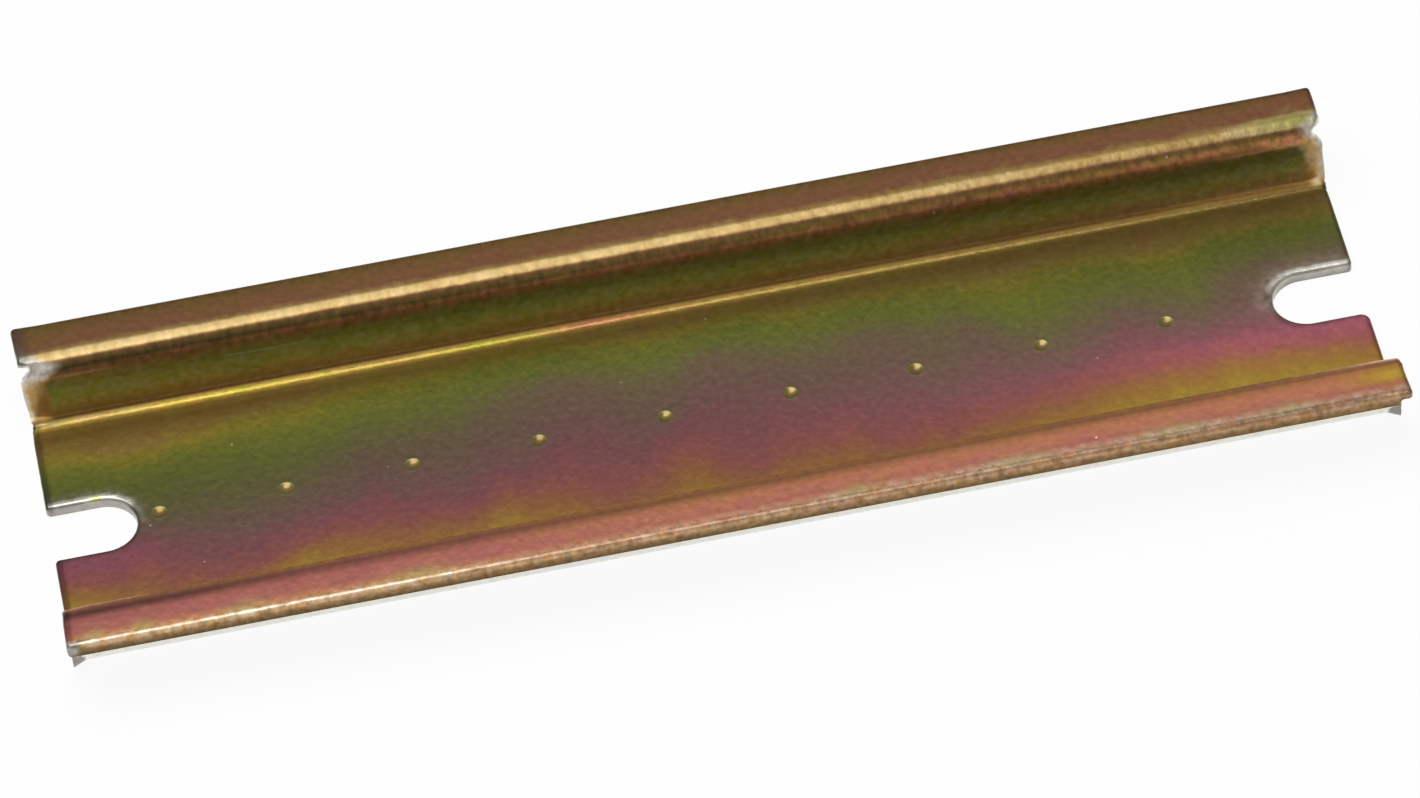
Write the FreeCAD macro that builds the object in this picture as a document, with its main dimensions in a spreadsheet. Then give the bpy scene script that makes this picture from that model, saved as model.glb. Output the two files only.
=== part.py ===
import FreeCAD, Part
import enum
import math
import os
import Sketcher

# A short length of 35 mm top-hat mounting rail, 7.5 mm high, rolled from 1 mm steel strip.
# It lies on the back of its web with its open side up.
# X runs along the rail, Y across it and Z up from the back of the web.
# The origin is on the back of the web, at mid-length and mid-width.

# Driving sizes in millimetres: name, value, and what it measures.
SIZES = [
    ("rail_length", 108.0, "cut length"),
    ("rail_width", 35.0, "over the two flanges"),
    ("rail_height", 7.5, "from the back of the web to the top of the flanges"),
    ("sheet_thickness", 1.0, "thickness of the strip"),
    ("channel_width", 25.0, "clear width between the two walls"),
    ("bend_radius", 0.8, "inside radius of the four bends"),
    ("corner_radius", 0.8, "corners of the flanges, seen from above"),
    ("slot_width", 5.5, "width of the screw slot that each cut end halves"),
    ("slot_depth", 7.1, "from the cut end to the round end of the slot"),
    ("slot_offset", 0.4, "from the middle of the web to the line of the slots"),
    ("mouth_radius", 0.8, "corners of the web beside the mouth of a slot"),
    ("rolled_edge", 0.3, "edge that shear and punch rolled over on the open side"),
    ("mark_count", 9, "punch marks in the row"),
    ("mark_first", 8.97, "from the left cut end to the first mark"),
    ("mark_pitch", 10.376, "from mark to mark"),
    ("mark_offset", 0.6, "from the middle of the web to the row of marks"),
    ("mark_diameter", 1.2, "width of a mark at the face of the web"),
    ("mark_depth", 0.15, "depth of a mark"),
]

TOUCH = 1e-4


class Spot(enum.IntEnum):
    """The point of a line or an arc that a constraint takes."""
    START = 1
    END = 2
    CENTRE = 3


class Axis(enum.IntEnum):
    """The two axes that every sketch has."""
    HORIZONTAL = -1
    VERTICAL = -2


ORIGIN = (Axis.HORIZONTAL, Spot.START)

doc = FreeCAD.newDocument("mounting_rail")

sheet = doc.addObject("Spreadsheet::Sheet", "sizes")
for row, (alias, value, meaning) in enumerate(SIZES, start=1):
    sheet.set(f"A{row}", alias)
    sheet.set(f"B{row}", str(value))
    sheet.set(f"C{row}", meaning)
    sheet.setAlias(f"B{row}", alias)
doc.recompute()

half_length = sheet.get("rail_length") / 2
half_width = sheet.get("rail_width") / 2
half_channel = sheet.get("channel_width") / 2
half_slot = sheet.get("slot_width") / 2
height = sheet.get("rail_height")
thickness = sheet.get("sheet_thickness")
half_hat = half_channel + thickness

rail = doc.addObject("PartDesign::Body", "rail")
rail.Label = "rail"


def origin_feature(role):
    """The plane or axis of the rail's own origin that has this role."""
    return next(item for item in rail.Origin.OriginFeatures if item.Role == role)


def new_sketch(name, role):
    """An empty sketch on one of the rail's origin planes."""
    sketch = rail.newObject("Sketcher::SketchObject", name)
    sketch.AttachmentSupport = [(origin_feature(role), "")]
    sketch.MapMode = "FlatFace"
    return sketch


def constrain(sketch, kind, *places):
    """A constraint of the sketch that has no size."""
    sketch.addConstraint(Sketcher.Constraint(kind, *places))


def dimension(sketch, name, kind, places, expression):
    """A named dimension of the sketch, bound to sizes on the sheet."""
    index = sketch.addConstraint(Sketcher.Constraint(kind, *places, 1.0))
    sketch.renameConstraint(index, name)
    sketch.setExpression("Constraints." + name, expression)


def edge_names(feature, wanted):
    """Names of the feature's edges that the wanted function accepts."""
    edges = enumerate(feature.Shape.Edges, start=1)
    return [f"Edge{number}" for number, edge in edges if wanted(edge)]


def round_edges(name, base, names, expression):
    """A fillet on these edges of the base, with a radius bound to the sheet."""
    fillet = rail.newObject("PartDesign::Fillet", name)
    fillet.Base = (base, names)
    fillet.setExpression("Radius", expression)
    doc.recompute()
    return fillet


# Section of the rail, still with sharp bends. Each row is the name of the side that starts
# there, then its place across and up.
outline = [
    ("left_lip", -half_width, height - thickness),
    ("left_flange", -half_width, height),
    ("left_wall", -half_channel, height),
    ("web_face", -half_channel, thickness),
    ("right_wall", half_channel, thickness),
    ("right_flange", half_channel, height),
    ("right_lip", half_width, height),
    ("under_right_flange", half_width, height - thickness),
    ("outside_right_wall", half_hat, height - thickness),
    ("web_back", half_hat, 0.0),
    ("outside_left_wall", -half_hat, 0.0),
    ("under_left_flange", -half_hat, height - thickness),
]
side = {name: number for number, (name, across, up) in enumerate(outline)}
corners = [FreeCAD.Vector(across, up, 0) for name, across, up in outline]

section = new_sketch("section", "YZ_Plane")
for here, there in zip(corners, corners[1:] + corners[:1]):
    section.addGeometry(Part.LineSegment(here, there), False)
for name, number in side.items():
    constrain(section, "Coincident", number, Spot.END, (number + 1) % len(side), Spot.START)
    if "lip" in name or "wall" in name:
        constrain(section, "Vertical", number)
    elif "flange" in name:
        constrain(section, "Horizontal", number)

# Both sides of the section are alike, and the back of the web is on the horizontal axis.
for left, right in (
    ((side["web_face"], Spot.START), (side["web_face"], Spot.END)),
    ((side["web_back"], Spot.END), (side["web_back"], Spot.START)),
    ((side["left_lip"], Spot.END), (side["right_lip"], Spot.START)),
):
    constrain(section, "Symmetric", *left, *right, Axis.VERTICAL)
constrain(section, "Horizontal", side["left_lip"], Spot.START, side["right_lip"], Spot.END)
constrain(section, "PointOnObject", side["web_back"], Spot.START, Axis.HORIZONTAL)

for name, kind, start, end, expression in (
    ("over_flanges", "DistanceX", "left_flange", "right_flange", "sizes.rail_width"),
    ("between_walls", "DistanceX", "web_face", "web_face", "sizes.channel_width"),
    ("over_all", "DistanceY", "web_back", "right_flange", "sizes.rail_height"),
    ("web", "DistanceY", "web_back", "web_face", "sizes.sheet_thickness"),
):
    dimension(section, name, kind, (side[start], Spot.START, side[end], Spot.END), expression)
dimension(
    section, "wall", "DistanceX",
    (side["web_face"], Spot.END, side["web_back"], Spot.START), "sizes.sheet_thickness",
)
dimension(
    section, "flange", "DistanceY",
    (side["right_lip"], Spot.END, side["right_lip"], Spot.START), "sizes.sheet_thickness",
)
doc.recompute()

strip = rail.newObject("PartDesign::Pad", "strip")
strip.Profile = section
strip.SideType = "Symmetric"
strip.setExpression("Length", "sizes.rail_length")
doc.recompute()


def runs_along(bends):
    """A test for edges that run along the rail through one of these corners of the section."""
    def wanted(edge):
        middle = edge.CenterOfMass
        return any(abs(abs(middle.y) - across) < TOUCH and abs(middle.z - up) < TOUCH for across, up in bends)
    return wanted


# The four bends. Each has a tight inside radius, and its outside is one sheet thickness larger.
inside_corners = runs_along([(half_channel, thickness), (half_hat, height - thickness)])
outside_corners = runs_along([(half_hat, 0.0), (half_channel, height)])
inside_bends = round_edges("inside_bends", strip, edge_names(strip, inside_corners), "sizes.bend_radius")
outside_bends = round_edges(
    "outside_bends", inside_bends, edge_names(inside_bends, outside_corners),
    "sizes.bend_radius + sizes.sheet_thickness",
)

# Half a screw slot at the left end: two straight sides and a full round inner end.
# The sides run on past the cut end by half the slot's width.
slot_side = sheet.get("slot_offset")
round_centre = FreeCAD.Vector(sheet.get("slot_depth") - half_slot - half_length, slot_side, 0)
outside_end = FreeCAD.Vector(-half_length - half_slot, slot_side, 0)
across = FreeCAD.Vector(0, half_slot, 0)
along = FreeCAD.Vector(half_slot, 0, 0)
slot_edges = {
    "far_side": Part.LineSegment(outside_end + across, round_centre + across),
    "near_side": Part.LineSegment(round_centre - across, outside_end - across),
    "outer_end": Part.LineSegment(outside_end - across, outside_end + across),
    "round_end": Part.Arc(round_centre - across, round_centre + along, round_centre + across),
}
slot_outline = new_sketch("slot_outline", "XY_Plane")
slot_outline.addGeometry(list(slot_edges.values()), False)
FAR, NEAR, OUTER, ROUND = range(len(slot_edges))
constrain(slot_outline, "Horizontal", FAR)
constrain(slot_outline, "Horizontal", NEAR)
constrain(slot_outline, "Vertical", OUTER)
constrain(slot_outline, "Coincident", OUTER, Spot.START, NEAR, Spot.END)
constrain(slot_outline, "Coincident", OUTER, Spot.END, FAR, Spot.START)
constrain(slot_outline, "Tangent", FAR, Spot.END, ROUND, Spot.END)
constrain(slot_outline, "Tangent", NEAR, Spot.START, ROUND, Spot.START)
dimension(slot_outline, "round", "Radius", (ROUND,), "sizes.slot_width / 2")
dimension(slot_outline, "sides", "DistanceX", (FAR, Spot.START, FAR, Spot.END), "sizes.slot_depth")
dimension(
    slot_outline, "along_rail", "DistanceX", (ROUND, Spot.CENTRE, *ORIGIN),
    "sizes.rail_length / 2 - sizes.slot_depth + sizes.slot_width / 2",
)
dimension(slot_outline, "off_middle", "DistanceY", (*ORIGIN, ROUND, Spot.CENTRE), "sizes.slot_offset")
doc.recompute()

left_slot = rail.newObject("PartDesign::Pocket", "left_slot")
left_slot.Profile = slot_outline
left_slot.Type = "ThroughAll"
left_slot.Reversed = True
doc.recompute()

both_slots = rail.newObject("PartDesign::Mirrored", "both_slots")
both_slots.Originals = [left_slot]
both_slots.MirrorPlane = (origin_feature("YZ_Plane"), [""])
rail.Tip = both_slots
doc.recompute()


def upright_at(places):
    """A test for upright edges of the cut ends at one of these places across the rail."""
    def wanted(edge):
        middle = edge.CenterOfMass
        at_end = abs(abs(middle.x) - half_length) < TOUCH
        upright = abs(edge.BoundBox.ZLength - thickness) < TOUCH and edge.BoundBox.YLength < TOUCH
        return at_end and upright and any(abs(middle.y - place) < TOUCH for place in places)
    return wanted


# Corners seen from above: four on the flanges, and four beside the mouths of the slots.
flange_corner = upright_at([-half_width, half_width])
mouth_corner = upright_at([slot_side - half_slot, slot_side + half_slot])
flange_corners = round_edges(
    "flange_corners", both_slots, edge_names(both_slots, flange_corner), "sizes.corner_radius"
)
mouth_corners = round_edges(
    "mouth_corners", flange_corners, edge_names(flange_corners, mouth_corner), "sizes.mouth_radius"
)


def normal_at(face, point):
    """The face's outward normal at a point on it."""
    return face.normalAt(*face.Surface.parameter(point))


def open_side_rim(feature):
    """Names of the edges round the open side of the sheet, which is one smooth run of faces.

    The walk starts on the face of the web and steps over each edge where two faces meet
    smoothly. The rim is every edge where it has to stop.
    """
    shape = feature.Shape
    level_faces = [face for face in shape.Faces if abs(face.CenterOfMass.z - thickness) < TOUCH]
    reached = [max(level_faces, key=lambda face: face.Area)]
    rim = []
    for face in reached:
        for edge in face.Edges:
            middle = edge.valueAt((edge.FirstParameter + edge.LastParameter) / 2)
            other = next(item for item in shape.ancestorsOfType(edge, Part.Face) if not item.isSame(face))
            turn = normal_at(face, middle).getAngle(normal_at(other, middle))
            if turn > math.radians(5):
                rim.append(edge)
            elif not any(item.isSame(other) for item in reached):
                reached.append(other)
    return edge_names(feature, lambda edge: any(edge.isSame(item) for item in rim))


rolled_rim = round_edges("rolled_rim", mouth_corners, open_side_rim(mouth_corners), "sizes.rolled_edge")

# The row of punch marks in the face of the web. Each is the dent of a round-nosed punch.
NOSE_RADIUS = "(sizes.mark_diameter ^ 2 / 4 + sizes.mark_depth ^ 2) / (2 * sizes.mark_depth)"
first_mark = rail.newObject("PartDesign::SubtractiveSphere", "first_mark")
first_mark.setExpression("Radius", NOSE_RADIUS)
first_mark.setExpression("Placement.Base.x", "sizes.mark_first - sizes.rail_length / 2")
first_mark.setExpression("Placement.Base.y", "sizes.mark_offset")
first_mark.setExpression("Placement.Base.z", "sizes.sheet_thickness - sizes.mark_depth + " + NOSE_RADIUS)
doc.recompute()

mark_row = rail.newObject("PartDesign::LinearPattern", "mark_row")
mark_row.Originals = [first_mark]
mark_row.Direction = (origin_feature("X_Axis"), [""])
mark_row.Mode = "Spacing"
mark_row.setExpression("Offset", "sizes.mark_pitch")
mark_row.setExpression("Occurrences", "sizes.mark_count")
rail.Tip = mark_row
doc.recompute()

for item in doc.Objects:
    if "Invalid" in item.State or "Error" in item.State:
        raise RuntimeError(f"{item.Name} failed: {item.State}")
cuts = [outside_bends, left_slot, both_slots, flange_corners, mouth_corners, rolled_rim, first_mark, mark_row]
for before, after in zip(cuts, cuts[1:]):
    if after.Shape.Volume >= before.Shape.Volume:
        raise RuntimeError(f"{after.Name} took nothing away")
if rail.Shape.isNull() or not rail.Shape.isValid() or len(rail.Shape.Solids) != 1:
    raise RuntimeError("the rail is not one valid solid")

box = rail.Shape.optimalBoundingBox(True, False)
print(f"{rail.Label}: {box.XLength:.2f} x {box.YLength:.2f} x {box.ZLength:.2f} mm")
print(f"{rail.Label}: {rail.Shape.Volume:.0f} mm3")

os.makedirs("parts", exist_ok=True)
rail.Shape.exportStep(f"parts/{rail.Label}.step")
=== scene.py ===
"""A short cut length of 35 mm top-hat mounting rail, zinc plated and yellow passivated, on a white floor."""

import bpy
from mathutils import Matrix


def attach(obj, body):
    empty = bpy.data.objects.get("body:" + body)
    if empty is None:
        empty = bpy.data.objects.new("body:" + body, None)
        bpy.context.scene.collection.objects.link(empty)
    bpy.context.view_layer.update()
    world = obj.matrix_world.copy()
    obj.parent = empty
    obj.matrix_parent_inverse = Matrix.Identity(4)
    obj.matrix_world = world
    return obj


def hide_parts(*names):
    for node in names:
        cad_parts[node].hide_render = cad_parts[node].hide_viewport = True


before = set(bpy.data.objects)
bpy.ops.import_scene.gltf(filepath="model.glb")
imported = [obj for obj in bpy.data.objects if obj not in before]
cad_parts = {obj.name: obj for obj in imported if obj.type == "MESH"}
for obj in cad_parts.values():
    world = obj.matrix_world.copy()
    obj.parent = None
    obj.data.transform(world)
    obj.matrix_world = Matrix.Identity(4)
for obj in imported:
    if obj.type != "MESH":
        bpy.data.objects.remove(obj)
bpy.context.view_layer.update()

import math
from types import SimpleNamespace

import bpy
import numpy as np
from mathutils import Matrix, Vector

# The rail is one strip of 1 mm steel, rolled to a 35 x 7.5 mm top-hat section, slotted and punched, zinc
# plated and yellow passivated, then sheared to 108 mm through two screw slots. The shear came from the open
# side, so it rolled the upper edges over and left burrs below.
MM = 0.001                           # the sizes here are in mm, and the mesh is in metres
HALF_LENGTH = 54.0
SHEET = 1.0
MID_RADIUS = 1.3                     # bend radius at the middle of the sheet
WEB_END = 11.7                       # where the web's flat ends, from the centre line
WALL_LENGTH = 3.9
FLANGE_LENGTH = 3.2
BEND_LENGTH = MID_RADIUS * math.pi / 2
WALL_START = WEB_END + BEND_LENGTH
WALL_END = WALL_START + WALL_LENGTH
FLANGE_START = WALL_END + BEND_LENGTH
HALF_STRIP = FLANGE_START + FLANGE_LENGTH
SLOT_LINE = 0.4                      # from the centre line to the line of the slots
SLOT_RADIUS = 2.75
SLOT_CENTRE = 49.65
CORNER_RADIUS = 0.8                  # the corner on the near side of the right-hand slot
TIGHT_CORNER = 0.4                   # every other corner of the sheet
END_ROLL = 0.3                       # rolled edge at the ends and slots
LIP_ROLL = 0.45                      # rolled edge at the lips
MARK_LINE = 0.6                      # from the centre line to the row of punch marks
MARK_FIRST = -45.03
MARK_PITCH = 10.376
MARK_COUNT = 9
MARK_RADIUS = 0.6
MARK_DEPTH = 0.15


def section(s):
    """Point (y, z) on the middle of the sheet and its upward normal, at s mm across the flattened strip.

    The web is flat to WEB_END, a quarter circle turns up into the wall, and another turns out into the
    flange. The near half mirrors the far half."""
    a = np.abs(s)
    low = np.clip((a - WEB_END) / MID_RADIUS, 0, math.pi / 2)
    high = np.clip((a - WALL_END) / MID_RADIUS, 0, math.pi / 2)
    wall = np.clip(a - WALL_START, 0, WALL_LENGTH)
    y = (np.minimum(a, WEB_END) + MID_RADIUS * np.sin(low)
         + MID_RADIUS * (1 - np.cos(high)) + np.maximum(a - FLANGE_START, 0))
    z = SHEET / 2 + MID_RADIUS * (1 - np.cos(low)) + wall + MID_RADIUS * np.sin(high)
    tilt = low - high
    side = np.where(s < 0, -1.0, 1.0)
    return y * side, z, -np.sin(tilt) * side, np.cos(tilt)


def bell(value, middle, width, power=2):
    """A smooth bump: 1 at the middle and 1/e one width away. A power of 4 gives it a flatter top."""
    return np.exp(-((value - middle) / width) ** power)


def step(value, start, stop):
    """Smooth rise from 0 at start to 1 at stop."""
    u = np.clip((value - start) / (stop - start), 0, 1)
    return u * u * (3 - 2 * u)


def mix(value, other, share):
    """The value moved towards the other by that share."""
    return value + (other - value) * share


def by_points(value, points):
    """Height at that value on straight lines through (place, height) points."""
    return np.interp(value, *np.array(points).T)


NOTCH = 0.8                          # depth of the tear in the far upper bend
SLANT_LEFT = [(-22.8, -0.2), (-22, -0.2), (-19, -0.1), (-12, 0.02), (11, 0.02), (12.6, 0.12), (14.5, 0.0),
              (16, -0.1), (20, -0.12), (22, -0.2)]
SLANT_RIGHT = [(-22.8, -0.2), (-21, -0.1), (-12, -0.15), (12, -0.17), (13.2, -0.26), (14.5, -0.24),
               (16, -0.1), (17.4, -0.14), (22, -0.08)]


def ragged(s, end):
    """How far the cut stands back from the nominal end, which is -1 on the left and 1 on the right.

    Sums of sines across the strip, strongest at the bends, plus the cut's own slant, plus the notch that the
    shear tore in the far upper bend: a straight run up to its tip, and a steep bell above it."""
    bend = bell(np.abs(s), 12.7, 1.1) + bell(np.abs(s), 18.7, 1.1)
    wave = 0.5 + 0.25 * np.sin(5.3 * s + 2.1 * end) + 0.25 * np.sin(11.9 * s - 1.3 * end)
    slant = np.where(end < 0, by_points(s, SLANT_LEFT), by_points(s, SLANT_RIGHT))
    tip = np.where(end < 0, 18.7, 18.4)
    run = np.where(end < 0, 1.45, 1.25)
    above = np.where(end < 0, bell(s, tip, 0.32, power=4), bell(s, tip, 0.6))
    notch = NOTCH * np.where(s > tip, above, np.maximum(1 - (tip - s) / run, 0))
    return (0.02 + 0.1 * bend) * wave + slant + notch


def rounded(a, b, radius):
    """Distance inwards from two edges that meet at a corner of that radius: the nearer edge, or its arc."""
    p, q = radius - a, radius - b
    return radius - np.hypot(np.maximum(p, 0), np.maximum(q, 0)) - np.minimum(np.maximum(p, q), 0)


def corner_radius(end, s):
    """The radius of the corner that is nearest, at that end and that place across the strip."""
    return np.where((end > 0) & (np.abs(s) < 10) & (s < SLOT_LINE), CORNER_RADIUS, TIGHT_CORNER)


def edge_distance(x, s):
    """Distance inwards from the nearest cut edge, and those from the cut end, the lip and the slot, in mm."""
    end = HALF_LENGTH - ragged(s, np.sign(x)) - np.abs(x)
    lip = HALF_STRIP - np.abs(s)
    slot = np.hypot(np.maximum(SLOT_CENTRE - np.abs(x), 0), s - SLOT_LINE) - SLOT_RADIUS
    radius = corner_radius(x, s)
    nearest = np.minimum(rounded(end, lip, radius), rounded(end, slot, radius))
    return np.maximum(nearest, 0), end, lip, slot


EDGE_STEPS = np.array([0, 0.02, 0.06, 0.12, 0.2, 0.3, 0.45, 0.7])
EDGE_ZONE = EDGE_STEPS[-1]           # grid lines crowd this close to a cut edge, at those steps from it
MARK_REACH = 0.9
MARK_ZONE = np.linspace(-MARK_REACH, MARK_REACH, 17)


def stretches(*parts):
    """Grid positions from (start, end, steps) stretches laid one after the other."""
    lines = [np.linspace(a, b, n, endpoint=False) for a, b, n in parts]
    return np.concatenate(lines + [[parts[-1][1]]])


def grid_lines():
    """Rows across the strip for the near, slot and far blocks, columns for the middle zone, and the marks.

    Lines crowd where the form turns: at the rolled edges, in the bends and round the punch marks."""
    outer = stretches((WEB_END, WALL_START, 14), (WALL_START, WALL_END, 6), (WALL_END, FLANGE_START, 18),
                      (FLANGE_START, HALF_STRIP - EDGE_ZONE, 4))
    lip = HALF_STRIP - EDGE_STEPS[::-1][1:]
    far_edge, near_edge = SLOT_LINE + SLOT_RADIUS, SLOT_RADIUS - SLOT_LINE
    far_flat = stretches((far_edge + EDGE_ZONE, WEB_END - 0.3, 10))[1:]
    near_flat = stretches((near_edge + EDGE_ZONE, WEB_END, 10))[1:-1]
    far = np.concatenate([far_edge + EDGE_STEPS, far_flat, outer, lip])
    near = -np.concatenate([near_edge + EDGE_STEPS, near_flat, outer, lip])

    arc = SLOT_LINE + SLOT_RADIUS * np.sin(np.linspace(-math.pi / 2, math.pi / 2, 27))
    fine = MARK_LINE + MARK_ZONE
    slot = np.sort(np.concatenate([arc[(arc < fine[0] - 0.05) | (arc > fine[-1] + 0.05)], fine]))

    marks = MARK_FIRST + MARK_PITCH * np.arange(MARK_COUNT)
    around = (marks[:, None] + MARK_ZONE).ravel()
    gap = np.linspace(MARK_ZONE[-1], MARK_PITCH + MARK_ZONE[0], 7)[1:-1]
    between = (marks[:-1, None] + gap).ravel()
    start = stretches((EDGE_ZONE - SLOT_CENTRE, marks[0] + MARK_ZONE[0], 5))[:-1]
    finish = stretches((marks[-1] + MARK_ZONE[-1], SLOT_CENTRE - EDGE_ZONE, 8))[1:]
    middle = np.sort(np.concatenate([EDGE_STEPS[:-1] - SLOT_CENTRE, start, around, between, finish,
                                     SLOT_CENTRE - EDGE_STEPS[:-1]]))
    return near[::-1], slot, far, middle, marks


SLOT_FADE = 4.0                      # over which the columns beside a slot's round end straighten out
FINE_ZONE = 2.5                      # columns stay close together this far from a cut end


def flat_blocks():
    """The three blocks of the flattened strip as grids of (x, s), and the marks' places along it.

    Rows have constant s. Columns follow the ragged ends outside the slots, and the slots' arcs between."""
    near, slot, far, middle, marks = grid_lines()
    zone = HALF_LENGTH - SLOT_CENTRE
    inward = stretches((EDGE_ZONE, FINE_ZONE, 9), (FINE_ZONE, zone, 4))[1:-1]
    reach = np.concatenate([EDGE_STEPS, inward]) / zone
    blocks = []
    for rows in (near, far):
        lip, slot_gap = HALF_STRIP - np.abs(rows), np.abs(rows - SLOT_LINE) - SLOT_RADIUS
        ends = []
        for side in (-1.0, 1.0):
            radius = corner_radius(side, rows)
            inset = np.clip(radius - np.minimum(lip, slot_gap), 0, radius)
            setback = radius - np.sqrt(radius ** 2 - inset ** 2)
            ends.append(HALF_LENGTH - setback - ragged(rows, side))
        left = -SLOT_CENTRE - (ends[0][:, None] - SLOT_CENTRE) * (1 - reach)
        right = SLOT_CENTRE + (ends[1][:, None] - SLOT_CENTRE) * (1 - reach[::-1])
        x = np.hstack([left, np.broadcast_to(middle, (len(rows), len(middle))), right])
        blocks.append((x, np.broadcast_to(rows[:, None], x.shape)))
    bite = np.sqrt(np.maximum(SLOT_RADIUS ** 2 - (slot - SLOT_LINE) ** 2, 0))[:, None]
    bite[[0, -1]] = 0
    inner = np.maximum(1 - (SLOT_CENTRE - np.abs(middle)) / SLOT_FADE, 0)
    x = middle - np.sign(middle) * inner * bite
    blocks.append((x, np.broadcast_to(slot[:, None], x.shape)))
    return blocks, marks


# The bath drained off the web in lobes, so the film grew in bands. Each line is where it reaches one order,
# as (x, s) in mm: yellow, orange, magenta, grey, green and olive, from the near side to the far.
BAND_LINES = [
    (0.31, [(-54, -6.6), (-42, -9.6), (-33, -6.5), (-27, -7.1), (-22, -7.2), (-18, -6.5), (-14, -7.1),
            (-8, -9.4), (-2, -7.1), (3, -8.8), (7, -7.6), (14, -9.6), (27, -7.1), (34, -5.7), (46, -5.1),
            (54, -6.2)]),
    (0.40, [(-54, -5.3), (-49, -5.5), (-39, -6.8), (-30, -4.8), (-21, -5.4), (-15, -4.3), (-9, -6.1),
            (-3, -3.8), (3, -5.7), (7, -4.7), (15, -6.5), (24, -5.5), (28, -4.4), (43, -3.7), (54, -5.0)]),
    (0.50, [(-54, -2.6), (-49, -1.9), (-36, -3.3), (-28, -1.4), (-24, -2.3), (-16, -1.2), (-11, 1.2),
            (-5, -0.7), (3, 1.8), (9, -0.8), (18, -1.9), (30, -1.6), (35, 0.5), (40, -0.8), (54, -1.6)]),
    (0.60, [(-54, 2.5), (-44, -0.1), (-35, -0.4), (-29, 2.9), (-23, 3.1), (-12, 6.8), (-3, 4.6), (1, 6.5),
            (9, 4.1), (14, 5.4), (21, 4.3), (29, 1.4), (36, 3.1), (41, 2.1), (46, 4.7), (54, 5.2)]),
    (0.72, [(-54, 5.3), (-46, 4.2), (-36, 5.4), (-27, 6.5), (-20, 7.8), (-11, 8.3), (-6, 7.6), (2, 8.2),
            (9, 7.3), (13, 7.8), (21, 6.9), (27, 4.7), (35, 6.7), (39, 6.0), (46, 7.4), (54, 7.7)]),
    (0.82, [(-54, 8.0), (-46, 6.5), (-38, 8.1), (-24, 9.3), (-14, 10.0), (-4, 9.0), (3, 9.5), (10, 8.7),
            (15, 9.1), (26, 8.1), (33, 8.7), (39, 7.5), (45, 8.8), (54, 9.0)])]
# The tone-and-light gain scales the film's lightness, and also paints light and shade: on the web, painted
# light that changes along the rail, and painted shade near the far bend. On the web it is (s, gain left,
# gain in the middle, gain right).
WEB_TONE_AND_LIGHT = [(-7.5, 1.15, 1.18, 1.5), (-3, 1.16, 1.22, 2.1), (2, 0.88, 1.26, 1.6), (4, 0.9, 1.34, 1.48),
             (6, 1.0, 1.42, 1.25), (8, 1.22, 1.33, 1.02), (10, 0.96, 0.9, 0.9)]
# Beyond the web the film follows the forming: (s, order left, order right, gain left, gain right). The gain
# paints the bends' lines of light brighter and the dark rows beside them darker: painted highlights and
# painted shade.
FAR_FILM_AND_LIGHT = [
    # The lower bend, with its line of light, painted brighter as a painted highlight.
    (11.2, 0.90, 0.88, 0.66, 0.88), (11.4, 0.90, 0.88, 1.7, 0.84), (11.7, 0.89, 0.87, 3.9, 0.92),
    (11.9, 0.89, 0.88, 3.7, 1.02), (12.1, 0.89, 0.88, 2.6, 1.02), (12.4, 0.90, 0.92, 1.5, 0.8),
    (12.6, 0.90, 0.91, 4.7, 2.05), (12.85, 0.92, 0.92, 2.1, 1.8), (13.05, 0.95, 0.94, 0.45, 1.35),
    (13.3, 0.94, 0.93, 1.85, 2.25),
    # The wall, brown at its foot and green above, lightened with painted light.
    (14.0, 0.89, 0.91, 0.87, 1.62), (14.6, 0.84, 0.88, 2.3, 1.87), (15.5, 0.79, 0.78, 2.7, 2.0),
    (16.5, 0.77, 0.78, 2.42, 1.3), (17.4, 0.82, 0.83, 1.12, 0.55),
    # The upper bend: a red-brown row, painted lighter towards the right end, a dark row of painted shade and
    # the broad line of light.
    (17.8, 0.94, 0.94, 1.5, 1.1), (18.1, 0.97, 0.98, 1.1, 1.68), (18.4, 0.95, 0.98, 0.25, 2.8),
    (18.7, 0.90, 0.94, 0.68, 0.9), (19.0, 1.09, 1.04, 1.16, 0.84), (19.3, 1.11, 1.07, 0.65, 0.96),
    (19.6, 1.08, 1.06, 0.83, 1.36),
    # The flange, out to its lip, painted dark there as painted shade.
    (20.0, 0.97, 1.03, 0.9, 1.05), (21.0, 0.98, 1.00, 0.91, 1.08), (22.0, 0.94, 0.97, 0.76, 1.1),
    (22.9, 0.93, 0.94, 0.58, 0.33)]
NEAR_FILM_AND_LIGHT = [
    # The lip, with its bright edge, a painted highlight, and the dark row behind it, painted shade.
    (-22.89, 0.29, 0.30, 0.9, 1.1), (-22.84, 0.29, 0.31, 2.8, 1.97), (-22.78, 0.29, 0.32, 3.6, 2.05),
    (-22.65, 0.30, 0.33, 1.4, 0.8), (-22.5, 0.31, 0.34, 0.66, 0.44), (-22.2, 0.34, 0.35, 2.3, 2.03),
    # The flange, pink to copper, and the crest of the upper bend, brightened with a painted highlight.
    (-21.9, 0.39, 0.39, 1.82, 1.95), (-21.2, 0.40, 0.385, 1.9, 2.7), (-20.4, 0.40, 0.36, 1.78, 2.6),
    (-19.8, 0.40, 0.35, 0.85, 2.55), (-19.45, 0.38, 0.34, 0.95, 1.4), (-19.1, 0.34, 0.33, 1.52, 1.7),
    (-18.8, 0.34, 0.30, 2.9, 2.6),
    # The wall's inner face and the lower bend, hidden from the front.
    (-17.0, 0.80, 0.80, 1.3, 1.3), (-14.0, 0.90, 0.90, 1.3, 1.3), (-12.0, 0.40, 0.40, 1.1, 1.1)]


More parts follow.
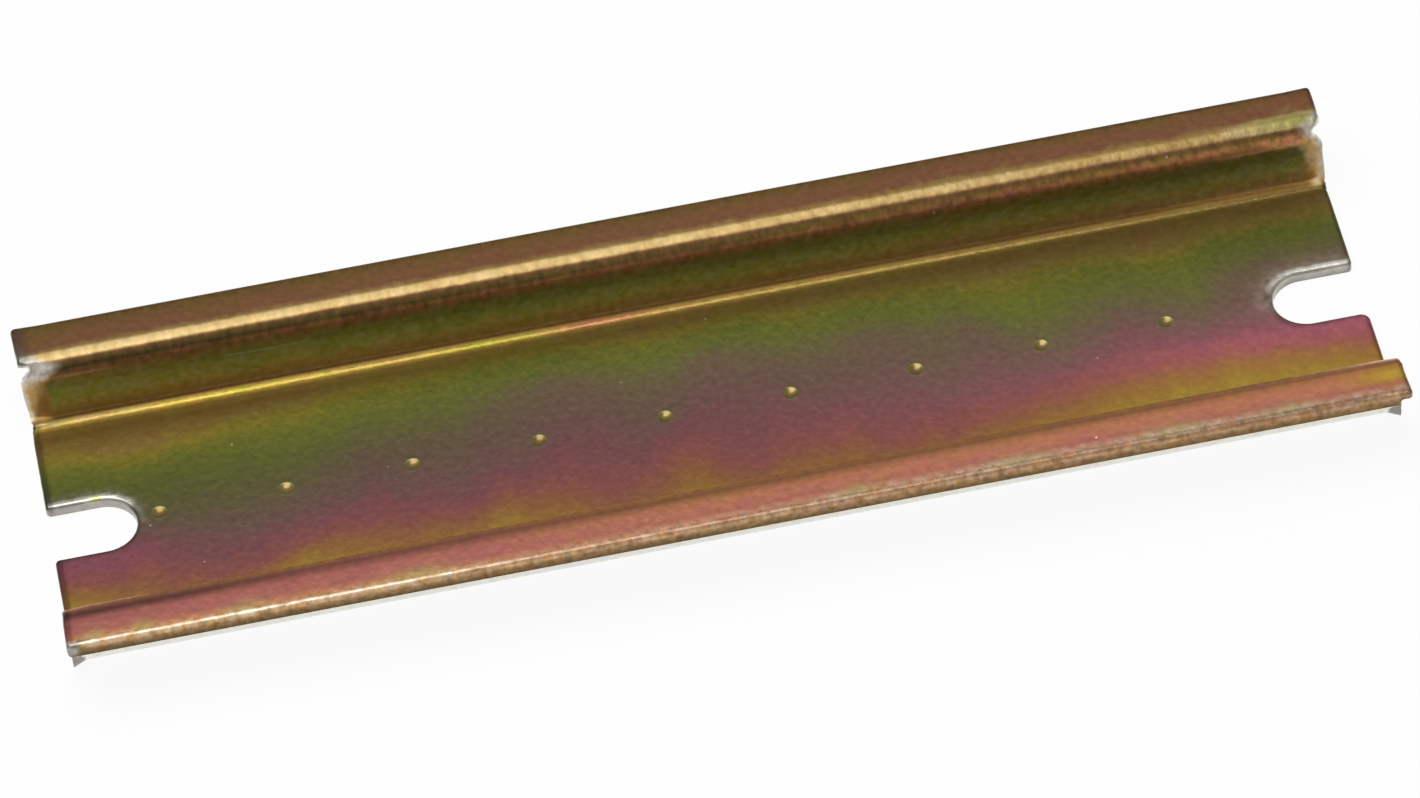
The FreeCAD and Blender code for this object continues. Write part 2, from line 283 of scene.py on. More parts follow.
def eased(x, points):
    """A line through (x, height) points, level at each of them: smoothstep between neighbours."""
    px, py = np.array(points).T
    k = np.clip(np.searchsorted(px, x) - 1, 0, len(px) - 2)
    return mix(py[k], py[k + 1], step(x, px[k], px[k + 1]))


def along_share(x):
    """Share of the way along the rail, from 0 at the left end to 1 at the right."""
    return np.clip((x + HALF_LENGTH) / (2 * HALF_LENGTH), 0, 1)


def web_film(x, s, share):
    """Order and tone-and-light gain on the web.

    Order is linear between band lines and slopes gently beyond them. The gain is linear between the table's
    places, and along the rail between its left, middle and right columns."""
    orders = [order for order, _ in BAND_LINES]
    places = [eased(x, line) for _, line in BAND_LINES]
    order = orders[0] + 0.04 * np.clip(s - places[0], -2, 0) + 0.05 * np.clip(s - places[-1], 0, 2)
    for k in range(len(orders) - 1):
        way = np.clip((s - places[k]) / (places[k + 1] - places[k]), 0, 1)
        order = order + (orders[k + 1] - orders[k]) * way
    place, *columns = np.array(WEB_TONE_AND_LIGHT).T
    left, middle, right = (np.interp(s, place, column) for column in columns)
    half = np.minimum(2 * share, 1), np.maximum(2 * share - 1, 0)
    return order, left + (middle - left) * half[0] + (right - middle) * half[1]


def side_film(s, table, turn, share):
    """Order and tone-and-light gain on one side, between the table's left and right columns.

    Order is linear in turn, and the gain goes by ratio in share."""
    place, *columns = np.array(table).T
    left_order, right_order, left_tone_and_light, right_tone_and_light = (np.interp(s, place, column) for column in columns)
    return mix(left_order, right_order, turn), left_tone_and_light * (right_tone_and_light / left_tone_and_light) ** share


def film(x, s):
    """The film's order and tone-and-light gain at (x, s): the web's, each side's beyond it, and some
    local changes.

    Each change is a bell or smooth steps across the strip, times bells or a smooth step along it."""
    share = along_share(x)
    order, tone_and_light = web_film(x, s, share)
    sides = ((FAR_FILM_AND_LIGHT, step(s, 10.6, 11.2), share ** 2), (NEAR_FILM_AND_LIGHT, step(s, -10, -12), step(x, -32, -6)))
    for table, side, turn in sides:
        side_order, side_tone_and_light = side_film(s, table, turn, share)
        order, tone_and_light = mix(order, side_order, side), mix(tone_and_light, side_tone_and_light, side)
    # The line of light in the far lower bend turns greener, then pink, then olive along the rail.
    turns = 0.12 * bell(x, -7, 4.0) - 0.08 * bell(x, -15.5, 4.0) - 0.05 * bell(x, -37, 8.0)
    order = order + bell(s, 12.3, 0.5) * turns
    # The near flange has a dark row of painted shade at its left end and a lip painted bright, a painted
    # highlight, at its right end, where it turns olive.
    tone_and_light = tone_and_light * (1 - 0.45 * step(x, -34, -46) * bell(s, -19.75, 0.28))
    tone_and_light = tone_and_light * (1 + 1.0 * step(x, 49.5, 52) * bell(s, -22.5, 0.13))
    right_end = step(s, -19.4, -20.0) * step(x, 48, 53) * step(s, -21.8, -20.8)
    order, tone_and_light = order - 0.13 * right_end, tone_and_light * (1 - 0.25 * right_end)
    # The far upper bend's line of light turns olive near its right end, over a pink row painted brighter, as
    # painted light.
    olive = step(x, 44.0, 50.5) * step(s, 18.85, 19.15) * step(s, 20.3, 19.8)
    order, tone_and_light = mix(order, 1.27, olive), tone_and_light * (1 - 0.15 * olive)
    tone_and_light = tone_and_light * (1 + 0.5 * step(x, 48.5, 51.5) * bell(s, 18.05, 0.25))
    # The lower line of light is painted duller at its left end, as painted shade, and painted wider at its
    # right end, as a painted highlight.
    tone_and_light = tone_and_light * (1 - 0.6 * step(x, -50.2, -53.2) * bell(s, 12.35, 0.45))
    tone_and_light = tone_and_light * (1 - 0.27 * step(x, -42, -48) * bell(s, 12.0, 0.6))
    tone_and_light = tone_and_light * (1 + 0.35 * step(x, 38, 47) * bell(s, 13.3, 0.5))
    return order, tone_and_light


def srgb(code):
    """An sRGB hex value as linear RGBA."""
    c = [int(code[i:i + 2], 16) / 255 for i in (1, 3, 5)]
    return [v / 12.92 if v <= 0.04045 else ((v + 0.055) / 1.055) ** 2.4 for v in c] + [1.0]


DRAWN_TAN, BLUSH_MAGENTA, SPOT_OLIVE = "#A07A36", "#A84B6C", "#7A8C46"
# Spots along the near lip, as (place, width) in mm.
LIP_SPOTS = [(-52, 0.8), (-48, 1.0), (-40, 1.5), (-26, 2.5), (9, 1.8), (22, 2.5), (35, 3.0), (44, 2.0)]


def tints(x, s, drawn):
    """Linear RGBA of colours that the orders leave out, with their share as alpha.

    The drawn ends of the walls are tan, the web blushes magenta towards both ends in a bell across the strip,
    and olive spots taper up from the near lip as bells along the rail."""
    blush = bell(s, -3.4, 1.7) * (0.22 * step(x, 28, 46) + 0.2 * step(x, -42, -50))
    spots = sum(bell(x, place, width) for place, width in LIP_SPOTS)
    spots = 0.34 * spots * step(s, -20.9, -22.1) * step(s, -22.7, -22.5)
    shares = np.stack([drawn, blush, spots], 1)
    colours = np.array([srgb(code)[:3] for code in (DRAWN_TAN, BLUSH_MAGENTA, SPOT_OLIVE)])
    total = shares.sum(1, keepdims=True)
    return np.hstack([shares @ colours / np.maximum(total, 1e-6), np.minimum(total, 1)])


def measured(x, s, marks):
    """Where each grid point lies: its distances in mm from the cut edges and the marks, and its features.

    A feature is a share from 0 to 1, in smooth steps: dented in the marks, drawn at the ends of the walls,
    crest on the slots' far side, and corner at the near lip's left end. The flare, where a highlight is
    painted at the right end of the lower line of light, and the tooth, which fades from the cut, are bells
    across the lower bend."""
    nearest, end, lip, slot = edge_distance(x, s)
    reach = np.hypot(x[:, None] - marks, (s - MARK_LINE)[:, None]).min(1)
    left = x < 0
    drag = np.where(left, 2.3, 2.6 - 0.25 * (s - 13.5))
    wall = step(np.abs(s), 12.7, 13.6) * step(np.abs(s), 18.6, 17.6)
    return SimpleNamespace(
        x=x, s=s, nearest=nearest, end=end, lip=lip, slot=slot, reach=reach,
        left=left, far=s > 0, share=along_share(x),
        dented=step(reach, MARK_RADIUS * 1.2, MARK_RADIUS * 0.8),
        drawn=wall * step(end, drag, drag - 0.7),
        crest=step(s, SLOT_LINE + 0.5, SLOT_LINE + 2.6),
        flare=bell(x, 53.45, 0.5) * bell(s, 13.05, 0.4),
        corner=step(end, 1.3, 0.7) * left * (s < 0),
        tooth=bell(np.abs(s), 12.9, 0.45) * np.clip(1 - nearest / 1.1, 0, 1))


MARK_RIM = 0.02
DRAG_FROM, DRAG_EASE = 2.0, 0.3      # where the drag begins, back from the cut, and how it eases in
DRAG_SLOPE = 0.15
TOOTH_DROP = 0.46
LIP_BURR = 0.2
BROKEN_LIP = 0.6                     # how much of the near lip's thickness broke away


def skins(at):
    """Heights of the upper and the lower skin from the middle of the sheet.

    The upper edges are rolled over in quarter circles. Each mark is a spherical dent with a raised rim."""
    roll = mix(END_ROLL, LIP_ROLL, np.clip((np.minimum(at.end, at.slot) - at.lip) / 2, 0, 1))
    inside = np.clip(roll - at.nearest, 0, roll)
    top = SHEET / 2 - (roll - np.sqrt(roll ** 2 - inside ** 2))
    sphere = (MARK_RADIUS ** 2 + MARK_DEPTH ** 2) / (2 * MARK_DEPTH)
    dent = np.sqrt(np.maximum(sphere ** 2 - np.minimum(at.reach, MARK_RADIUS) ** 2, 0))
    top = top - (dent - (sphere - MARK_DEPTH)) + MARK_RIM * bell(at.reach, MARK_RADIUS, 0.09)
    # The shear dragged the walls' inner face back over the last 2 mm, so that it turns to the open end.
    wall = step(np.abs(at.s), 12.2, 14.2) * step(np.abs(at.s), 19.4, 17.4)
    run = DRAG_FROM - at.end
    drag = np.where(run > DRAG_EASE, run - DRAG_EASE / 2, np.clip(run, 0, DRAG_EASE) ** 2 / (2 * DRAG_EASE))
    top = top - DRAG_SLOPE * wall * drag
    # It drew the outer skin of the lower bends down and out into a short tooth at each end, and broke the
    # lower half of the near lip away at the right-hand end. Both lips have a burr on their lower edge.
    low = -SHEET / 2 - TOOTH_DROP * at.tooth * (at.end < 1.4) - LIP_BURR * step(at.lip, 0.5, 0)
    low = low + BROKEN_LIP * step(at.end, 1.2, 1.0) * step(at.s, -20.5, -21.5) * ~at.left
    return top, low


def upper_film(at):
    """The upper skin's order, tone-and-light gain and share of bare metal.

    The film's own values are mixed towards others near the marks, the cut ends, the slots and the lips, and
    the share of bare metal is the largest of those that reach a point."""
    x, s, end, slot, lip, left = at.x, at.s, at.end, at.slot, at.lip, at.left
    order, tone_and_light = film(x, s)
    order, tone_and_light = mix(order, 0.91, at.dented), mix(tone_and_light, 1.0, at.dented)
    # The dragged ends of the walls wear a thin tan film, their lightness set anew, with painted light towards
    # the foot at the right end, and every cut end is darkened along a line.
    lit = 1.05 * (1 + 0.45 * step(s, 15.5, 14.5) * step(end, 0.4, 0.7))
    tone_and_light = mix(tone_and_light, np.where(left, by_points(end, [(0.9, 1.35), (1.6, 1.1)]), lit), at.drawn)
    line_start = np.where(left, np.where(s > 19, 1.5, 0.8), 0.55)
    line_stop = np.where(left & (s > 19), 0.4, line_start - 0.35)
    dark_line = np.where(left, 0.5, 0.45) * step(end, line_start, line_stop)
    tone_and_light = tone_and_light * (1 - dark_line * (1 - at.drawn))
    # The lower line of light ends at the right in a pale flare, a painted highlight, and at the left end it
    # is made lighter where the tan meets it.
    tone_and_light = tone_and_light * (1 + 1.5 * at.flare)
    tone_and_light = tone_and_light + 1.9 * bell(s, 13.2, 0.35) * step(end, 2.2, 1.0) * left
    # The slots' rims are darkened as painted shade, but for a glint, a painted highlight, on the left one's
    # far side.
    tone_and_light = tone_and_light * (1 - 0.4 * step(slot, 0.6, 0.25) * (1 - at.crest))
    tone_and_light = tone_and_light * (1 - np.where(left, 0.15, 0.42) * at.crest * step(slot, 0.3, 0.1))
    rim = (slot > 0.01) & (slot < 0.35) & (s > SLOT_LINE) & left
    glint = bell(x, -50.0, 0.7, power=4) * rim
    order, tone_and_light = mix(order, 0.8, glint), mix(tone_and_light, 2.6, glint)
    # The shear tore the film off the far upper bend, in a wedge that narrows away from the cut.
    torn = np.where(left, 1.9 - 0.6 * end - 1.0 * np.abs(s - 18.8 + 0.12 * end),
                    1.5 - 0.8 * end - 0.9 * np.abs(s - 19.0))
    torn = np.clip(torn, 0, 1) * at.far
    # Over the tear the gain is painted anew: painted light below the line of light and along the tear's rim,
    # and painted shade on the line itself and at the far flange's left end.
    left_torn_light = by_points(s, [(17.9, 1.1), (18.6, 1.5), (18.95, 1.1), (19.25, 0.26), (19.6, 0.24)])
    right_torn_light = by_points(s, [(17.9, 1.2), (18.6, 1.7), (19.2, 0.75)])
    rough = np.maximum(np.where(left, left_torn_light, right_torn_light), 1.4 * step(at.nearest, 0.3, 0.1) * (s > 18.7))
    rough = np.where((s > 18.75) & (x < -53.4), 0.3, rough)
    tone_and_light = mix(tone_and_light, rough, torn)
    # The near lip's left corner is rubbed bare, with a dark edge of painted shade along it.
    rubbed = at.corner * step(lip, 0.7, 0.4)
    tone_and_light = mix(tone_and_light, by_points(lip, [(0.1, 0.8), (0.2, 0.45), (0.4, 0.8)]), rubbed)
    # Zinc shows most in the torn wedge, at the walls' ends and on the slots' rims. It shows faintly round the
    # slots, at the cut ends, along the lips, in the marks and over the far wall, and it helps paint the
    # highlights in the flare and on the lower line of light near the left end.
    slot_rim = step(slot, 0.8, 0.35) * (0.25 + 0.65 * at.crest) * step(s, SLOT_LINE - 2.0, SLOT_LINE)
    halo = step(slot, np.where(left, 1.3, 2.3), 0.4) * step(s, SLOT_LINE - 2.0, SLOT_LINE + 1)
    haze = (0.06 + 0.02 * at.share) * step(s, 12.9, 13.6) * step(s, 18.2, 17.4)
    bare = np.maximum.reduce([
        0.85 * torn,
        at.drawn * np.where(left, 0.45 * step(end, 0.6, 0.2), 0.4 * step(end, 0.9, 0.3)),
        slot_rim * (end > 0.2) * (1 - 0.85 * glint),
        0.12 * halo,
        0.2 * at.flare,
        0.12 * step(end, 1.2, 0.4) * left * (s > 19.6),
        0.12 * step(lip, 0.8, 0.5) * ~at.far,
        0.42 * step(x, -8, -30) * step(np.abs(lip - 0.27), 0.2, 0.1) * ~at.far,
        0.15 * step(x, -30, 30) * step(np.abs(s + 22.3), 0.35, 0.1),
        0.75 * rubbed,
        0.06 * at.dented,
        0.04 * step(x, -42, -48) * bell(s, 12.4, 0.35),
        haze,
        0.03 * at.share * step(s, 7, 9) * step(s, 12.2, 11.7)])
    return order, tone_and_light, bare


def lower_film(at):
    """The lower skin's order, tone-and-light gain and share of bare metal.

    The same bath drained the other way, so the web's film is turned end for end and side for side. The
    outside of the lower bends is rubbed bare and painted brighter still, as painted light; the teeth are bare
    and dimmer, the lips carry a thin yellow film and grow darker towards their edge, and the slots' far rims
    are darkened as painted shade."""
    order = film(-at.x, np.clip(-at.s, -11, 11))[0]
    rubbed = step(np.abs(at.s), 11.0, 11.9) * step(np.abs(at.s), 15.2, 14.0) * np.where(at.far, 0.3, 1.0)
    teeth = at.tooth > 0.02
    edge = step(at.lip, 0.8, 0.1)
    # The rubbed bends get painted light, and the slots' far rims painted shade.
    tone_and_light = np.where(teeth, 0.55, (0.9 + 0.9 * rubbed) * (1 - (0.65 - 0.3 * at.share) * edge))
    tone_and_light = tone_and_light * (1 - np.where(at.left, 0.2, 0.4) * at.crest * step(at.slot, 0.2, 0.02))
    bare = np.maximum(np.where(teeth, 1.0, rubbed), 0.75 * at.corner * (at.lip < 0.3))
    return mix(order, 0.28, edge), tone_and_light, bare


def joined(blocks):
    """The blocks' points with doubles merged, and the quads between them."""
    points = np.concatenate([np.stack([x.ravel(), s.ravel()], 1) for x, s in blocks])
    _, kept, index = np.unique(np.round(points, 5), axis=0, return_index=True, return_inverse=True)
    index = index.ravel()
    quads, start = [], 0
    for x, _ in blocks:
        grid = index[start:start + x.size].reshape(x.shape)
        corners = [grid[:-1, :-1], grid[:-1, 1:], grid[1:, 1:], grid[1:, :-1]]
        quads.append(np.stack(corners, -1).reshape(-1, 4))
        start += x.size
    return points[kept], np.concatenate(quads)


def rim_edges(quads, count):
    """The edges that belong to one quad only, in that quad's direction."""
    edges = quads[:, [0, 1, 1, 2, 2, 3, 3, 0]].reshape(-1, 2)
    pair = np.sort(edges, 1).astype(np.int64)
    _, back, uses = np.unique(pair[:, 0] * count + pair[:, 1], return_inverse=True, return_counts=True)
    return edges[uses[back.ravel()] == 1]


def strip_mesh(name):
    """Both skins of the rail on the flattened grid, folded to the section and joined by walls at the rims."""
    blocks, marks = flat_blocks()
    points, quads = joined(blocks)
    x, s = points.T
    at = measured(x, s, marks)
    top, low = skins(at)
    y, z, ny, nz = section(s)
    co = np.stack([np.stack([x, y + off * ny, z + off * nz], 1) for off in (top, low)]) * MM
    count = len(x)
    a, b = rim_edges(quads, count).T
    walls = np.stack([b, a, a + count, b + count], 1)
    faces = np.concatenate([quads, quads[:, ::-1] + count, walls])

    mesh = bpy.data.meshes.new(name)
    mesh.vertices.add(2 * count)
    mesh.vertices.foreach_set("co", co.ravel())
    mesh.loops.add(faces.size)
    mesh.loops.foreach_set("vertex_index", faces.ravel().astype(np.int32))
    mesh.polygons.add(len(faces))
    mesh.polygons.foreach_set("loop_start", np.arange(0, faces.size, 4, dtype=np.int32))
    mesh.update(calc_edges=True)
    mesh.validate()
    mesh.shade_smooth()
    mesh.set_sharp_from_angle(angle=math.radians(42))

    def store(key, kind, field, values, domain="POINT"):
        attribute = mesh.attributes.new(key, kind, domain)
        attribute.data.foreach_set(field, values.astype(np.float32).ravel())

    place = np.stack([np.tile(x, 2), np.tile(s, 2), np.concatenate([top, low])], 1)
    store("strip", "FLOAT_VECTOR", "vector", place)
    for key, upper, lower in zip(("film_order", "film_tone_and_light", "bare"), upper_film(at), lower_film(at)):
        store(key, "FLOAT", "value", np.concatenate([upper, lower]))
    tint = np.concatenate([tints(x, s, at.drawn), np.zeros((count, 4))])
    store("tint", "FLOAT_COLOR", "color", tint)
    cut = np.minimum(at.end, at.slot)
    sheared = (cut[a] + cut[b]) / 2 < at.lip[a]
    store("cut_face", "FLOAT", "value", np.concatenate([np.zeros(2 * len(quads)), sheared]), "FACE")
    return mesh


rail = bpy.data.objects.new("rail_strip", strip_mesh("rail_strip"))
bpy.context.scene.collection.objects.link(rail)


def add(tree, kind, links=None, **settings):
    """Adds a node, sets its inputs by name or number, its properties by name, and links {input: socket}."""
    node = tree.nodes.new(kind)
    for key, value in settings.items():
        setattr(node, key, value)
    for key, value in (links or {}).items():
        if isinstance(value, bpy.types.NodeSocket):
            tree.links.new(value, node.inputs[key])
        else:
            node.inputs[key].default_value = value
    return node


BARE_ZINC = "#CAC6BC"
FILM_COLOURS = [
    (0.04, "#D2C3A0"), (0.09, "#C8B496"), (0.15, "#B48E62"), (0.22, "#9B812F"), (0.28, "#906A2F"),
    (0.34, "#895B39"), (0.40, "#854D45"), (0.46, "#76484C"), (0.52, "#6B4F47"), (0.58, "#665540"),
    (0.64, "#615E34"), (0.70, "#606528"), (0.78, "#686B22"), (0.84, "#7D7124"), (0.90, "#826A33"),
    (0.94, "#80622E"), (1.00, "#88583E"), (1.06, "#967A42"), (1.12, "#A89060"), (1.20, "#B29C64"),
    (1.27, "#A29856")]
TOP_ORDER = 1.3                      # the order at the end of the colour ramp
DRIP_WIDTH = 2.2                     # this and the sizes below are in mm
MOTTLE_SIZE = 1.6
GRAIN_SIZE = 0.6
BORDER_SIZE = 0.7
SPECK_SPACING = 4.5
SPECK_RADIUS = 0.1
SCRATCH_X, SCRATCH_S = -34.0, 16.8
SCRATCH_HALF_LENGTH = 3.5
SCRATCH_HALF_WIDTH = 0.13


def passivated_zinc():
    """Yellow chromate conversion film on zinc-plated steel, which shimmers from tan to olive.

    Its colour follows the film's order, as in an oil film, and a gain scales it, which paints light and
    shade as well as the film's own lightness. It has a soft satin gloss, and shows zinc where it is rubbed."""
    material = bpy.data.materials.new("yellow_passivated_zinc")
    material.use_nodes = True
    tree = material.node_tree
    tree.nodes.clear()
    strip = add(tree, "ShaderNodeAttribute", attribute_name="strip").outputs["Vector"]
    order = add(tree, "ShaderNodeAttribute", attribute_name="film_order").outputs["Fac"]
    tone_and_light = add(tree, "ShaderNodeAttribute", attribute_name="film_tone_and_light").outputs["Fac"]
    bare = add(tree, "ShaderNodeAttribute", attribute_name="bare").outputs["Fac"]
    tint = add(tree, "ShaderNodeAttribute", attribute_name="tint").outputs
    cut = add(tree, "ShaderNodeAttribute", attribute_name="cut_face").outputs["Fac"]
    place = add(tree, "ShaderNodeSeparateXYZ", {0: strip}).outputs

    # Order wanders by a few hundredths, in drips across the strip, in mottle and in grain. The drips sway
    # less on the near flange, and the mottle is centred by half its own 0.05.
    along = add(tree, "ShaderNodeVectorMath", {0: strip, 1: (1.0, 0.16, 1.0)}, operation="MULTIPLY")
    drips = add(tree, "ShaderNodeTexNoise",
                {"Vector": along.outputs[0], "Scale": 1 / DRIP_WIDTH, "Detail": 2.0})
    mottle = add(tree, "ShaderNodeTexNoise", {"Vector": strip, "Scale": 1 / MOTTLE_SIZE, "Detail": 2.0})
    grain = add(tree, "ShaderNodeTexNoise", {"Vector": strip, "Scale": 1 / GRAIN_SIZE, "Detail": 2.0})
    drips = add(tree, "ShaderNodeMath", {0: drips.outputs["Fac"], 1: 0.5}, operation="SUBTRACT")
    grain = add(tree, "ShaderNodeMath", {0: grain.outputs["Fac"], 1: 0.5}, operation="SUBTRACT")
    near_flange = add(tree, "ShaderNodeMath", {0: place["Y"], 1: -19.3}, operation="LESS_THAN")
    sway = add(tree, "ShaderNodeMath", {0: near_flange.outputs[0], 1: -0.06, 2: 0.09},
               operation="MULTIPLY_ADD")
    order = add(tree, "ShaderNodeMath", {0: drips.outputs[0], 1: sway.outputs[0], 2: order},
                operation="MULTIPLY_ADD")
    order = add(tree, "ShaderNodeMath", {0: mottle.outputs["Fac"], 1: 0.05, 2: order.outputs[0]},
                operation="MULTIPLY_ADD")
    order = add(tree, "ShaderNodeMath", {0: grain.outputs[0], 1: 0.03, 2: order.outputs[0]},
                operation="MULTIPLY_ADD")
    order = add(tree, "ShaderNodeMath", {0: order.outputs[0], 1: 1 / TOP_ORDER, 2: -0.025 / TOP_ORDER},
                operation="MULTIPLY_ADD")
    colours = add(tree, "ShaderNodeValToRGB", {"Fac": order.outputs[0]})
    stops = colours.color_ramp.elements
    while len(stops) < len(FILM_COLOURS):
        stops.new(0.5)
    for stop, (level, code) in zip(stops, FILM_COLOURS):
        stop.position, stop.color = level / TOP_ORDER, srgb(code)

    # Bare zinc breaks through with a rough border, and shows on every sheared face.
    border = add(tree, "ShaderNodeTexNoise", {"Vector": strip, "Scale": 1 / BORDER_SIZE, "Detail": 2.0})
    covered = add(tree, "ShaderNodeMath", {0: 1.0, 1: bare}, operation="SUBTRACT")
    partly = add(tree, "ShaderNodeMath", {0: bare, 1: covered.outputs[0]}, operation="MULTIPLY")
    rough = add(tree, "ShaderNodeMath", {0: border.outputs["Fac"], 1: 4.4, 2: -2.2},
                operation="MULTIPLY_ADD")
    bare = add(tree, "ShaderNodeMath", {0: rough.outputs[0], 1: partly.outputs[0], 2: bare},
               operation="MULTIPLY_ADD", use_clamp=True)
    bare = add(tree, "ShaderNodeMath", {0: bare.outputs[0], 1: cut}, operation="MAXIMUM")
    # Bright specks up to a fifth of a millimetre wide lie about, one to every few square centimetres, where
    # a cell's point happens to lie in the surface.
    cells = add(tree, "ShaderNodeTexVoronoi", {"Vector": strip, "Scale": 1 / SPECK_SPACING})
    speck = add(tree, "ShaderNodeMath", {0: cells.outputs["Distance"], 1: SPECK_RADIUS / SPECK_SPACING},
                operation="LESS_THAN")
    speck = add(tree, "ShaderNodeMath", {0: speck.outputs[0], 1: 0.6}, operation="MULTIPLY")
    bare = add(tree, "ShaderNodeMath", {0: bare.outputs[0], 1: speck.outputs[0]}, operation="MAXIMUM")
    # A bowed scratch runs along the far wall: a parabola, 7 mm long and a quarter of a millimetre wide.
    run = add(tree, "ShaderNodeMath", {0: place["X"], 1: -SCRATCH_X}, operation="ADD")
    bow = add(tree, "ShaderNodeMath", {0: run.outputs[0], 1: run.outputs[0]}, operation="MULTIPLY")
    bow = add(tree, "ShaderNodeMath", {0: bow.outputs[0], 1: 0.01, 2: SCRATCH_S}, operation="MULTIPLY_ADD")
    across_it = add(tree, "ShaderNodeMath", {0: place["Y"], 1: bow.outputs[0], 2: SCRATCH_HALF_WIDTH},
                    operation="COMPARE")
    along_it = add(tree, "ShaderNodeMath", {0: place["X"], 1: SCRATCH_X, 2: SCRATCH_HALF_LENGTH},
                   operation="COMPARE")
    scratch = add(tree, "ShaderNodeMath", {0: across_it.outputs[0], 1: along_it.outputs[0]},
                  operation="MULTIPLY")
    scratch = add(tree, "ShaderNodeMath", {0: scratch.outputs[0], 1: 0.2}, operation="MULTIPLY")
    bare = add(tree, "ShaderNodeMath", {0: bare.outputs[0], 1: scratch.outputs[0]}, operation="MAXIMUM")
    film_colour = add(tree, "ShaderNodeMix",
                      {0: tint["Alpha"], 6: colours.outputs["Color"], 7: tint["Color"]}, data_type="RGBA")
    metal = add(tree, "ShaderNodeMix", {0: bare.outputs[0], 6: film_colour.outputs[2], 7: srgb(BARE_ZINC)},
                data_type="RGBA")

    # The upper bends and the lips are grained like orange peel, more strongly than the flats.
    side = add(tree, "ShaderNodeMath", {0: place["Y"]}, operation="ABSOLUTE")
    bend = add(tree, "ShaderNodeMath", {0: side.outputs[0], 1: 18.4}, operation="SUBTRACT")
    bend = add(tree, "ShaderNodeMath", {0: bend.outputs[0]}, operation="ABSOLUTE")
    bend = add(tree, "ShaderNodeMath", {0: 1.0, 1: bend.outputs[0]}, operation="SUBTRACT", use_clamp=True)
    lip = add(tree, "ShaderNodeMath", {0: side.outputs[0], 1: 21.9}, operation="SUBTRACT", use_clamp=True)
    peel = add(tree, "ShaderNodeMath", {0: bend.outputs[0], 1: lip.outputs[0]}, operation="MAXIMUM")
    peel = add(tree, "ShaderNodeMath", {0: peel.outputs[0], 1: 1.3, 2: 0.54}, operation="MULTIPLY_ADD")
    light = add(tree, "ShaderNodeMath", {0: grain.outputs[0], 1: peel.outputs[0], 2: 1.0},
                operation="MULTIPLY_ADD")
    # The gain attribute scales the colour: the film's lightness, with painted highlights and painted shade.
    light = add(tree, "ShaderNodeMath", {0: light.outputs[0], 1: tone_and_light}, operation="MULTIPLY")
    colour = add(tree, "ShaderNodeVectorMath", {0: metal.outputs[2], 3: light.outputs[0]},
                 operation="SCALE")
    bump = add(tree, "ShaderNodeBump", {"Height": rough.outputs[0], "Strength": 0.3, "Distance": 0.02 * MM})
    shader = add(tree, "ShaderNodeBsdfPrincipled", {
        "Base Color": colour.outputs[0], "Metallic": 0.62, "Roughness": 0.29, "Normal": bump.outputs[0]})
    add(tree, "ShaderNodeOutputMaterial", {"Surface": shader.outputs[0]})
    return material


rail.data.materials.append(passivated_zinc())
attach(rail, "root")
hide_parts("rail")

# The floor is a wide sheet of matt white board, just under the rail. The camera and the metal see it nearly
# white, and other rays see the board itself, so it keeps a soft shadow.
FLOOR_HALF = 3.0
FLOOR_GAP = 0.02 * MM
WHITE_SHARE = 0.92
corners = [(-FLOOR_HALF, -FLOOR_HALF, 0), (FLOOR_HALF, -FLOOR_HALF, 0), (FLOOR_HALF, FLOOR_HALF, 0),
           (-FLOOR_HALF, FLOOR_HALF, 0)]
floor_mesh = bpy.data.meshes.new("floor")
floor_mesh.from_pydata(corners, [], [(0, 1, 2, 3)])
floor = bpy.data.objects.new("floor", floor_mesh)
floor.location.z = -FLOOR_GAP
bpy.context.scene.collection.objects.link(floor)
board = bpy.data.materials.new("white_board")
board.use_nodes = True
tree = board.node_tree
tree.nodes.clear()
path = add(tree, "ShaderNodeLightPath")
seen = add(tree, "ShaderNodeMath", {0: path.outputs["Is Camera Ray"], 1: path.outputs["Is Glossy Ray"]},
           operation="MAXIMUM")
seen = add(tree, "ShaderNodeMath", {0: seen.outputs[0], 1: path.outputs["Is Transmission Ray"]},
           operation="MAXIMUM")
share = add(tree, "ShaderNodeMath", {0: seen.outputs[0], 1: WHITE_SHARE}, operation="MULTIPLY")
matt = add(tree, "ShaderNodeBsdfDiffuse", {"Color": (0.9, 0.9, 0.9, 1)})
white = add(tree, "ShaderNodeEmission", {"Strength": 1.0})
blend = add(tree, "ShaderNodeMixShader", {0: share.outputs[0], 1: matt.outputs[0], 2: white.outputs[0]})
add(tree, "ShaderNodeOutputMaterial", {"Surface": blend.outputs[0]})
floor_mesh.materials.append(board)

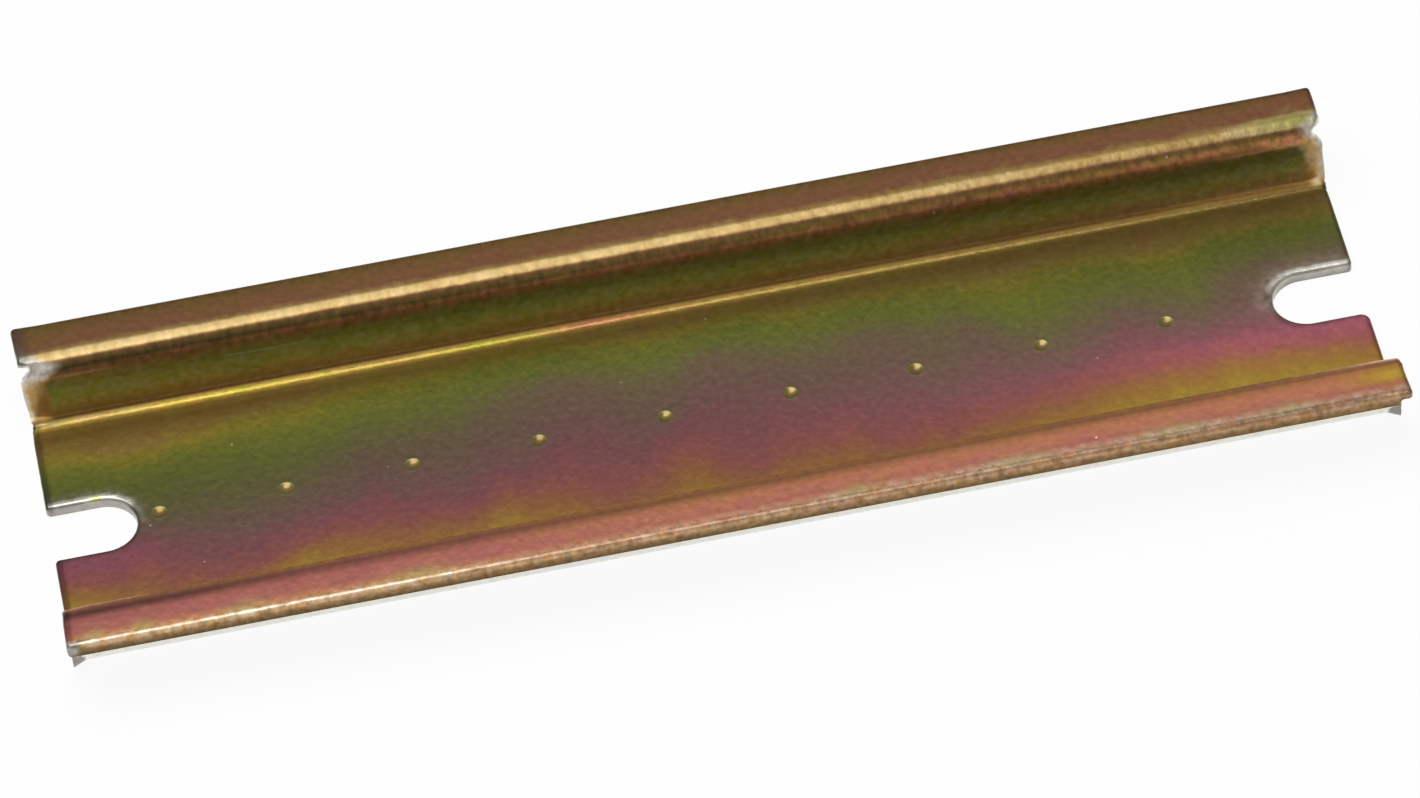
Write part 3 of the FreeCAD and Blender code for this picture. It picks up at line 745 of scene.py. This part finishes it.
# The studio is an evenly lit white room with one broad softbox overhead, a little to the left and to the
# back. The box, facing straight down, makes the lines of light in the bends.
ROOM_STRENGTH = 0.36
SOFTBOX_PLACE = (-0.135, 0.0625, 0.6)
SOFTBOX_WIDTH, SOFTBOX_DEPTH = 0.47, 0.515
SOFTBOX_RADIANCE = 4.0
world = bpy.data.worlds.new("studio")
world.use_nodes = True
world.node_tree.nodes["Background"].inputs["Color"].default_value = (1, 1, 1, 1)
world.node_tree.nodes["Background"].inputs["Strength"].default_value = ROOM_STRENGTH
bpy.context.scene.world = world
lamp = bpy.data.lights.new("overhead", "AREA")
lamp.shape = "RECTANGLE"
lamp.size, lamp.size_y = SOFTBOX_WIDTH, SOFTBOX_DEPTH
lamp.energy = SOFTBOX_RADIANCE * math.pi * SOFTBOX_WIDTH * SOFTBOX_DEPTH
softbox = bpy.data.objects.new("overhead", lamp)
softbox.location = SOFTBOX_PLACE
bpy.context.scene.collection.objects.link(softbox)

# The camera stands in front of the rail with a long lens, 0.65 m from the point it looks at, and leans a
# little to one side. It was fitted to the section's edges and the cut ends in the photograph.
ELEVATION, AZIMUTH, ROLL = 0.8358744809, -0.1082987398, -0.1061110274
TARGET = Vector((0.0004763, 0.0024627, 0))
DISTANCE = 0.6546
FOCAL_PIXELS, PHOTO_WIDTH = 8067.0, 1420
SENSOR_WIDTH = 36.0
back = Vector((math.sin(AZIMUTH) * math.cos(ELEVATION), -math.cos(AZIMUTH) * math.cos(ELEVATION),
               math.sin(ELEVATION)))
right = (-back).cross(Vector((0, 0, 1))).normalized()
up = right.cross(-back)
turned_right = math.cos(ROLL) * right + math.sin(ROLL) * up
turned_up = -math.sin(ROLL) * right + math.cos(ROLL) * up
lens = bpy.data.cameras.new("camera")
lens.sensor_width = SENSOR_WIDTH
lens.lens = FOCAL_PIXELS / PHOTO_WIDTH * SENSOR_WIDTH
lens.clip_start, lens.clip_end = 0.01, 20
camera = bpy.data.objects.new("camera", lens)
turn = Matrix((turned_right, turned_up, back)).transposed().to_4x4()
camera.matrix_world = Matrix.Translation(TARGET + back * DISTANCE) @ turn
bpy.context.scene.collection.objects.link(camera)
bpy.context.scene.camera = camera
bpy.context.scene.view_settings.view_transform = "Standard"
